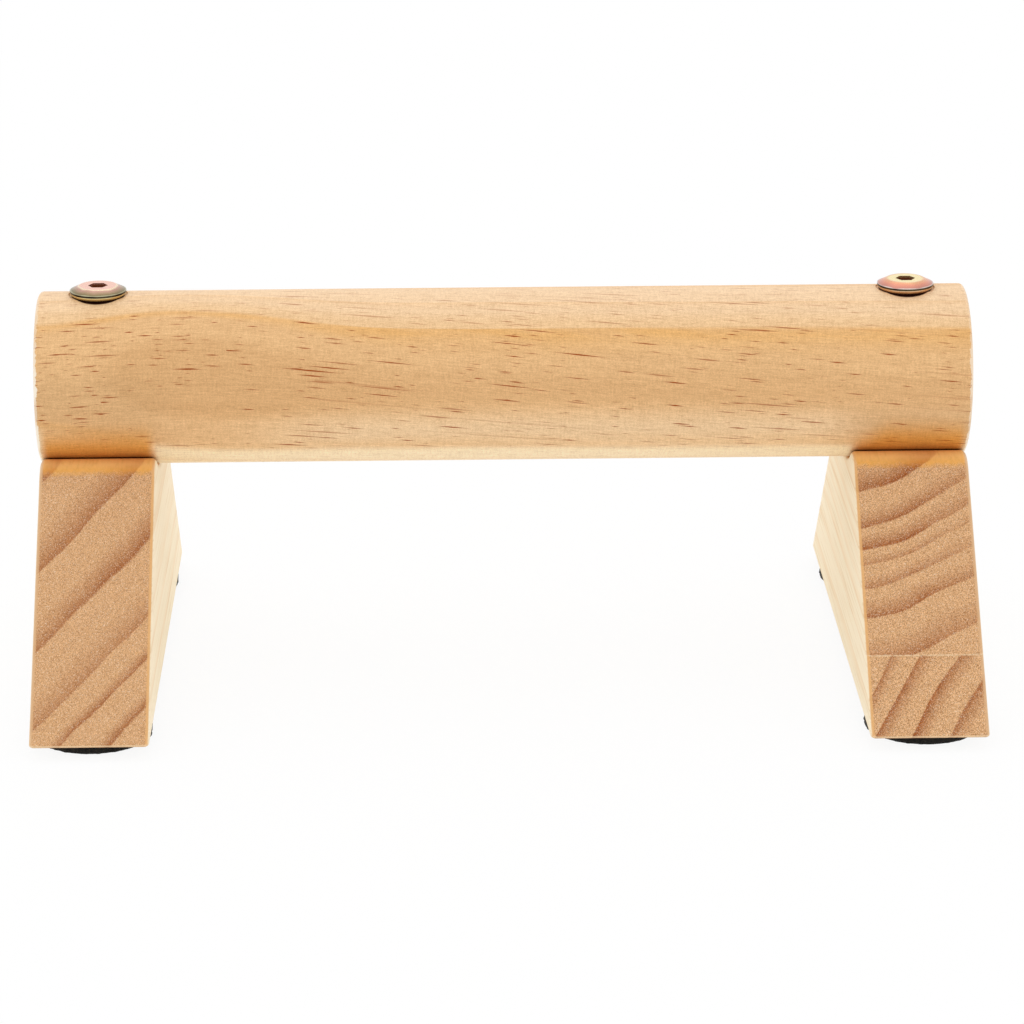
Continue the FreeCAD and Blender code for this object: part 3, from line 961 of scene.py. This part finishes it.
def pad_faces():
    """Faces of a pad: a fan below, rows of quads, a fan above."""
    rows = len(PAD_PROFILE)
    top = 1 + (rows - 1) * PAD_STEPS
    last = top + PAD_STEPS
    faces = []
    for step in range(PAD_STEPS):
        after = (step + 1) % PAD_STEPS
        faces.append((0, 1 + after, 1 + step))
        for row in range(rows - 1):
            here = 1 + row * PAD_STEPS
            above = here + PAD_STEPS
            faces.append((here + step, here + after, above + after, above + step))
        faces.append((last, top + step, top + after))
    return faces


def make_pad(node, felt):
    """A cut felt disc with a soft, slightly ragged rim, in the place of its plain solid."""
    mesh = bpy.data.meshes.new(node + "_felt")
    mesh.from_pydata(pad_points(*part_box(node)), [], pad_faces())
    mesh.shade_smooth()
    mesh.materials.append(felt)
    pad = bpy.data.objects.new(node + "_felt", mesh)
    bpy.context.scene.collection.objects.link(pad)
    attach(pad, BODY)
    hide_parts(node)


def dress(node, material):
    """Gives a CAD node its finish."""
    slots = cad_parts[node].data.materials
    slots.clear()
    slots.append(material)


def dress_wood():
    """Pine on the bar, the left foot and the two staves of the right foot."""
    foot_low, foot_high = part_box("right_foot_lower_stave")
    bolt_low, bolt_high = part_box("right_bolt")
    bar_wood = make_bar_wood(
        *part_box("grip_bar"),
        foot_span=(foot_low.x / MM, foot_high.x / MM),
        bolt_station=(bolt_low.x + bolt_high.x) / 2 / MM,
        bolt_radius=(bolt_high.x - bolt_low.x) / 2 / MM,
    )
    glue_height = foot_high.z / MM
    dress("grip_bar", bar_wood)
    dress("left_foot", make_foot_wood("left_foot_pine", LEFT_BOARD, 1))
    dress("right_foot_upper_stave", make_foot_wood("upper_stave_pine", UPPER_BOARD, -1, glue_height))
    dress("right_foot_lower_stave", make_foot_wood("lower_stave_pine", LOWER_BOARD, -1, glue_height))


def dress_zinc():
    """Zinc plate of its own tint on each bolt, and of one tint on the insert nuts."""
    dress("left_bolt", make_zinc("zinc_pink", "left_bolt", ZINC_PINK, ZINC_GOLD))
    dress("right_bolt", make_zinc("zinc_yellow", "right_bolt", ZINC_YELLOW, ZINC_COPPER))
    for side in ("left", "right"):
        node = side + "_insert_nut"
        dress(node, make_zinc(f"zinc_{side}_insert", node, ZINC_YELLOW, ZINC_GOLD))


# white surroundings: what the camera, mirrors and glass see is plain white, and the light on the
# object has a plain level, which falls a little towards the front
WORLD_LEVEL = 1.03
WORLD_FRONT_LEVEL = 0.84
WORLD_FRONT = (-0.95, 0.1)


def make_world():
    """Soft light from all sides, seen as plain white."""
    world = bpy.data.worlds.new("white_room")
    bpy.context.scene.world = world
    tree = Tree(world)
    rearward = tree.split(tree.where["Generated"])["Y"]
    level = tree.ease(rearward, *WORLD_FRONT, WORLD_FRONT_LEVEL, WORLD_LEVEL)
    light = tree.nodes["Background"]
    tree.plug(light.inputs["Color"], WHITE)
    tree.plug(light.inputs["Strength"], level)
    white = tree.add("Background", {"Color": WHITE, "Strength": 1.0})
    surface = tree.blend(tree.seen_directly(), light, white)
    tree.plug(tree.nodes["World Output"].inputs["Surface"], surface)


FLOOR_HALF = 4.0
FLOOR_COLOUR = grey(0.96)
# share of plain white in what is seen of the floor near the object, and the distances over which it
# grows to all
FLOOR_WHITE_SHARE = 0.9
FLOOR_WHITE_REACH = (0.25, 0.75)


def make_floor():
    """A pale floor that keeps part of the object's shadow on a white ground."""
    ends = (-FLOOR_HALF, FLOOR_HALF)
    corners = [(x, y, 0.0) for y in ends for x in ends]
    mesh = bpy.data.meshes.new("floor")
    mesh.from_pydata(corners, [], [(0, 1, 3, 2)])
    floor = bpy.data.objects.new("floor", mesh)
    bpy.context.scene.collection.objects.link(floor)
    material = bpy.data.materials.new("floor_white")
    tree = Tree(material)
    tree.nodes.remove(tree.nodes["Principled BSDF"])
    away = tree.add("VectorMath", {0: tree.where["Object"]}, operation="LENGTH").outputs["Value"]
    whiter = tree.ease(away, *FLOOR_WHITE_REACH, FLOOR_WHITE_SHARE, 1.0)
    matt = tree.add("BsdfDiffuse", {"Color": FLOOR_COLOUR})
    white = tree.add("Emission", {"Color": WHITE, "Strength": 1.0})
    surface = tree.blend(tree.times(tree.seen_directly(), whiter), matt, white)
    tree.plug(tree.nodes["Material Output"].inputs["Surface"], surface)
    mesh.materials.append(material)


# a large, weak softbox above the object: its place and aim, the length of its sides and its power
LAMP_PLACE = Vector((-0.1, 0.1, 1.2))
LAMP_AIM = Vector((0.0, 0.0, 0.05))
LAMP_SIDE = 1.4
LAMP_POWER = 1.5


def make_lamp():
    """A square softbox that points at the object."""
    data = bpy.data.lights.new("top_softbox", "AREA")
    data.size = LAMP_SIDE
    data.energy = LAMP_POWER
    lamp = bpy.data.objects.new("top_softbox", data)
    lamp.location = LAMP_PLACE
    lamp.rotation_euler = (LAMP_AIM - LAMP_PLACE).to_track_quat("-Z", "Y").to_euler()
    bpy.context.scene.collection.objects.link(lamp)


# the photograph's camera: place, turn about the vertical, downward tilt and roll
CAMERA_PLACE = Vector((-0.0185, -0.8975, 0.32357))
CAMERA_YAW = math.radians(1.31)
CAMERA_PITCH = math.radians(17.84)
CAMERA_ROLL = math.radians(-0.19)
CAMERA_FOCAL_PIXELS = 4014
IMAGE_PIXELS = 1024
SENSOR_MM = 36.0


def make_camera():
    """The scene's camera, at the photograph's viewing angle."""
    data = bpy.data.cameras.new("camera")
    data.sensor_width = SENSOR_MM
    data.lens = SENSOR_MM * CAMERA_FOCAL_PIXELS / IMAGE_PIXELS
    camera = bpy.data.objects.new("camera", data)
    ahead = Vector((
        math.sin(CAMERA_YAW) * math.cos(CAMERA_PITCH),
        math.cos(CAMERA_YAW) * math.cos(CAMERA_PITCH),
        -math.sin(CAMERA_PITCH),
    ))
    level = Vector((math.cos(CAMERA_YAW), -math.sin(CAMERA_YAW), 0.0))
    upright = level.cross(ahead)
    right = math.cos(CAMERA_ROLL) * level + math.sin(CAMERA_ROLL) * upright
    up = math.cos(CAMERA_ROLL) * upright - math.sin(CAMERA_ROLL) * level
    turn = Matrix((right, up, -ahead)).transposed()
    camera.matrix_world = Matrix.Translation(CAMERA_PLACE) @ turn.to_4x4()
    bpy.context.scene.collection.objects.link(camera)
    bpy.context.scene.camera = camera


dress_wood()
dress_zinc()
black_felt = make_felt()
for pad_node in PAD_NODES:
    make_pad(pad_node, black_felt)

make_world()
make_floor()
make_lamp()
make_camera()
bpy.context.scene.view_settings.view_transform = "Standard"
